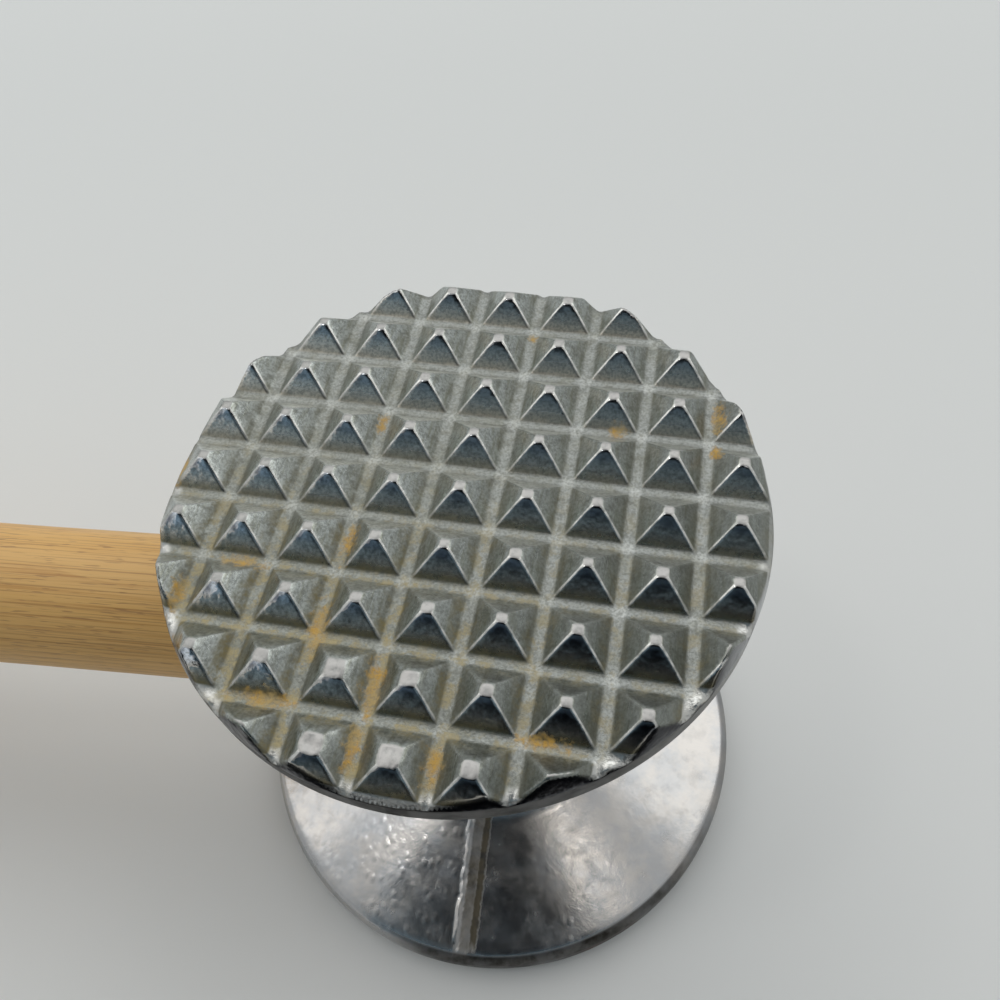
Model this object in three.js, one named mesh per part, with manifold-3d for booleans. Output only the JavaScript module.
// Meat mallet: a cast spool head with two toothed striking faces, and a beech handle pinned into it.
// Millimetres, +Z up. The head stands on its fine face, whose middle tooth is at the origin, and the
// handle leaves it along -X.
import * as THREE from "three";
import { mergeVertices } from "three/addons/utils/BufferGeometryUtils.js";
import Module from "manifold-3d";

const wasm = await Module();
wasm.setup();

// Head casting: the two striking discs and the waist between them
const coarseFaceRadius = 32.6;
const fineFaceRadius = 37.3;
const rimHeight = 3.6;
const faceSpacing = 66.9;
const discRise = 5.4;
const waistRadius = 14;
const waistFillet = 6;

// Teeth: each face is cut by two crossing sets of grooves, with a tooth on the head's axis
const coarseTeeth = { pitch: 7.25, height: 2.6, grooveWidth: 1.0, tipWidth: 1.0 };
const fineTeeth = { pitch: 5, height: 1.6, grooveWidth: 0.8, tipWidth: 0.8 };
const toothTurn = THREE.MathUtils.degToRad(-4.2);

// Parting line of the mould: a thin raised bead on the plane across the handle
const seamWidth = 1.6;
const seamRise = 0.5;
const seamRimMargin = 1.2;

// Socket for the handle, and the boss around it
const handleHeight = 37;
const bossRadius = 13.5;
const bossDraft = 0.5;
const bossReach = 26;
const socketDepthPastAxis = 8;

// Beech handle
const tenonRadius = 8;
const tenonChamfer = 1;
const tenonEndGap = 0.6;
const socketClearance = 0.3;
const neckRadius = 10;
const neckEnd = 62;
const swellRadius = 12.4;
const swellPlace = 150;
const buttRadius = 10.8;
const buttStart = 205;
const buttDome = 10;

// Steel cross pin
const pinRadius = 1.5;
const pinPlace = 18;
const pinHoleClearance = 0.3;
const pinEndInset = 0.3;

// Cutting tools run this far past what they cut
const overrun = 2;

// Facets
const headFacets = 72;
const filletSteps = 5;
const handleFacets = 40;
const handleSteps = 9;
const domeSteps = 6;
const bossFacets = 40;
const pinFacets = 16;
const mergeTolerance = 1e-4;

const fineFloorZ = fineTeeth.height;
const coarseFloorZ = fineFloorZ + faceSpacing;
const headTopZ = coarseFloorZ + coarseTeeth.height;

const castAluminium = new THREE.MeshStandardMaterial({ color: 0xa9adab, roughness: 0.35, metalness: 1 });
const beech = new THREE.MeshStandardMaterial({ color: 0xc08a52, roughness: 0.6, metalness: 0 });
const pinSteel = new THREE.MeshStandardMaterial({ color: 0x8f9194, roughness: 0.4, metalness: 1 });

// A closed geometry as a solid that can be joined and cut
function solidOf(geometry) {
  geometry.deleteAttribute("normal");
  geometry.deleteAttribute("uv");
  const merged = mergeVertices(geometry, mergeTolerance);
  const corners = merged.index.array;
  const triVerts = [];
  for (let i = 0; i < corners.length; i += 3) {
    const [a, b, c] = corners.slice(i, i + 3);
    if (a !== b && b !== c && c !== a) triVerts.push(a, b, c);
  }
  return new wasm.Manifold(new wasm.Mesh({
    numProp: 3,
    vertProperties: merged.attributes.position.array,
    triVerts: Uint32Array.from(triVerts),
  }));
}

function meshOf(name, solid, material) {
  const result = solid.getMesh();
  const geometry = new THREE.BufferGeometry();
  geometry.setAttribute("position", new THREE.BufferAttribute(result.vertProperties, result.numProp));
  geometry.setIndex(new THREE.BufferAttribute(result.triVerts, 1));
  geometry.computeVertexNormals();
  const mesh = new THREE.Mesh(geometry, material);
  mesh.name = name;
  return mesh;
}

const sum = (first, ...others) => others.reduce((whole, other) => whole.add(other), first);

// A turned solid about Z, from a profile of [radius, height] that runs up from axis to axis
function turnedAboutZ(profile, facets) {
  const points = profile.map(([radius, height]) => new THREE.Vector2(radius, height));
  return new THREE.LatheGeometry(points, facets).rotateX(Math.PI / 2);
}

// A rod along the handle's axis between two distances from the head's axis, counted along -X
function rodAlongHandle(from, to, startRadius, endRadius, facets) {
  const rod = new THREE.CylinderGeometry(endRadius, startRadius, to - from, facets);
  rod.rotateZ(Math.PI / 2).translate(-(from + to) / 2, 0, handleHeight);
  return solidOf(rod);
}

function rodAlongY(radius, length, facets) {
  const rod = new THREE.CylinderGeometry(radius, radius, length, facets);
  rod.translate(-pinPlace, 0, handleHeight);
  return solidOf(rod);
}

// The inner face of one disc, from its rim to the waist: a shallow cone, then a fillet.
// Heights are measured from the disc's groove floor towards the waist, and grow is laid on all of it.
function discInnerFace(faceRadius, outerRadius, grow) {
  const slope = discRise / (faceRadius - waistRadius);
  const lean = Math.atan(slope);
  const coneHeightAt = (radius) => rimHeight + (faceRadius - radius) * slope;
  const reach = waistFillet - grow;
  const centreRadius = waistRadius + waistFillet;
  const centreHeight = coneHeightAt(centreRadius) + waistFillet / Math.cos(lean);
  const points = [[outerRadius, coneHeightAt(outerRadius) + grow / Math.cos(lean)]];
  for (let i = 0; i <= filletSteps; i++) {
    const angle = lean + (Math.PI / 2 - lean) * (i / filletSteps);
    points.push([centreRadius - reach * Math.sin(angle), centreHeight - reach * Math.cos(angle)]);
  }
  return points;
}

// The spool, up to the tips of both sets of teeth
function spool() {
  const lower = discInnerFace(fineFaceRadius, fineFaceRadius, 0);
  const upper = discInnerFace(coarseFaceRadius, coarseFaceRadius, 0).reverse();
  const profile = [
    [0, 0],
    [fineFaceRadius, 0],
    ...lower.map(([radius, height]) => [radius, fineFloorZ + height]),
    ...upper.map(([radius, height]) => [radius, coarseFloorZ - height]),
    [coarseFaceRadius, headTopZ],
    [0, headTopZ],
  ];
  return solidOf(turnedAboutZ(profile, headFacets));
}

// The raised bead that follows the spool's outline on the parting plane, and stops short of both rims
function partingBead() {
  const lower = discInnerFace(fineFaceRadius, fineFaceRadius - seamRimMargin, seamRise);
  const upper = discInnerFace(coarseFaceRadius, coarseFaceRadius - seamRimMargin, seamRise).reverse();
  const side = [
    [fineFaceRadius - seamRimMargin, fineFloorZ + rimHeight / 2],
    ...lower.map(([radius, height]) => [radius, fineFloorZ + height]),
    ...upper.map(([radius, height]) => [radius, coarseFloorZ - height]),
    [coarseFaceRadius - seamRimMargin, coarseFloorZ - rimHeight / 2],
  ];
  const outline = [...side, ...side.map(([radius, height]) => [-radius, height]).reverse()];
  const shape = new THREE.Shape(outline.map(([across, height]) => new THREE.Vector2(across, height)));
  const plate = new THREE.ExtrudeGeometry(shape, { depth: seamWidth, bevelEnabled: false });
  plate.translate(0, 0, -seamWidth / 2).rotateX(Math.PI / 2).rotateZ(Math.PI / 2);
  return solidOf(plate);
}

// One face's grooves, running both ways, with their floors at Z = 0 and open towards +Z
function grooves(faceRadius, teeth) {
  const halfFloor = teeth.grooveWidth / 2;
  const halfMouth = (teeth.pitch - teeth.tipWidth) / 2;
  const flare = (halfMouth - halfFloor) / teeth.height;
  const top = teeth.height + overrun;
  const halfTop = halfFloor + flare * top;
  const section = new THREE.Shape([
    new THREE.Vector2(-halfFloor, 0),
    new THREE.Vector2(halfFloor, 0),
    new THREE.Vector2(halfTop, top),
    new THREE.Vector2(-halfTop, top),
  ]);
  const length = 2 * (faceRadius + overrun);
  const perSide = Math.ceil(faceRadius / teeth.pitch);
  const cuts = [];
  for (let i = -perSide; i < perSide; i++) {
    const place = (i + 1 / 2) * teeth.pitch;
    for (const turn of [0, Math.PI / 2]) {
      const groove = new THREE.ExtrudeGeometry(section, { depth: length, bevelEnabled: false });
      groove.translate(place, 0, -length / 2).rotateX(Math.PI / 2).rotateZ(turn + toothTurn);
      cuts.push(solidOf(groove));
    }
  }
  return sum(...cuts);
}

function headCasting() {
  const boss = rodAlongHandle(0, bossReach, bossRadius + bossDraft, bossRadius, bossFacets);
  const coarseGrooves = grooves(coarseFaceRadius, coarseTeeth).translate([0, 0, coarseFloorZ]);
  const fineGrooves = grooves(fineFaceRadius, fineTeeth).mirror([0, 0, 1]).translate([0, 0, fineFloorZ]);
  const socketRadius = tenonRadius + socketClearance;
  const socketMouth = bossReach + overrun;
  const socket = rodAlongHandle(-socketDepthPastAxis, socketMouth, socketRadius, socketRadius, bossFacets);
  const pinHole = rodAlongY(pinRadius + pinHoleClearance, 2 * (bossRadius + overrun), pinFacets);
  return sum(spool(), partingBead(), boss)
    .subtract(coarseGrooves)
    .subtract(fineGrooves)
    .subtract(socket)
    .subtract(pinHole);
}

// Turned handle: tenon, shoulder against the boss, straight neck, long swell, domed butt
function beechHandle() {
  const tenonEnd = -(socketDepthPastAxis - tenonEndGap);
  const neckToSwell = (neckEnd + swellPlace) / 2;
  const swellToButt = (swellPlace + buttStart) / 2;
  const spot = (radius, distance) => new THREE.Vector2(radius, distance);
  const palm = new THREE.CubicBezierCurve(
    spot(neckRadius, neckEnd),
    spot(neckRadius, neckToSwell),
    spot(swellRadius, neckToSwell),
    spot(swellRadius, swellPlace),
  );
  const tail = new THREE.CubicBezierCurve(
    spot(swellRadius, swellPlace),
    spot(swellRadius, swellToButt),
    spot(buttRadius, swellToButt),
    spot(buttRadius, buttStart),
  );
  const dome = [];
  for (let i = 1; i <= domeSteps; i++) {
    const angle = (Math.PI / 2) * (i / domeSteps);
    dome.push(spot(buttRadius * Math.cos(angle), buttStart + buttDome * Math.sin(angle)));
  }
  const profile = [
    spot(0, tenonEnd),
    spot(tenonRadius - tenonChamfer, tenonEnd),
    spot(tenonRadius, tenonEnd + tenonChamfer),
    spot(tenonRadius, bossReach),
    spot(neckRadius, bossReach),
    ...palm.getPoints(handleSteps),
    ...tail.getPoints(handleSteps).slice(1),
    ...dome,
  ];
  const turned = new THREE.LatheGeometry(profile, handleFacets);
  turned.rotateZ(Math.PI / 2).translate(0, 0, handleHeight);
  const pinHole = rodAlongY(pinRadius + pinHoleClearance, 2 * (tenonRadius + overrun), pinFacets);
  return solidOf(turned).subtract(pinHole);
}

function crossPin() {
  return rodAlongY(pinRadius, 2 * (bossRadius - pinEndInset), pinFacets);
}

const mallet = new THREE.Group();
mallet.add(meshOf("head_casting", headCasting(), castAluminium));
mallet.add(meshOf("beech_handle", beechHandle(), beech));
mallet.add(meshOf("cross_pin", crossPin(), pinSteel));

export default mallet;
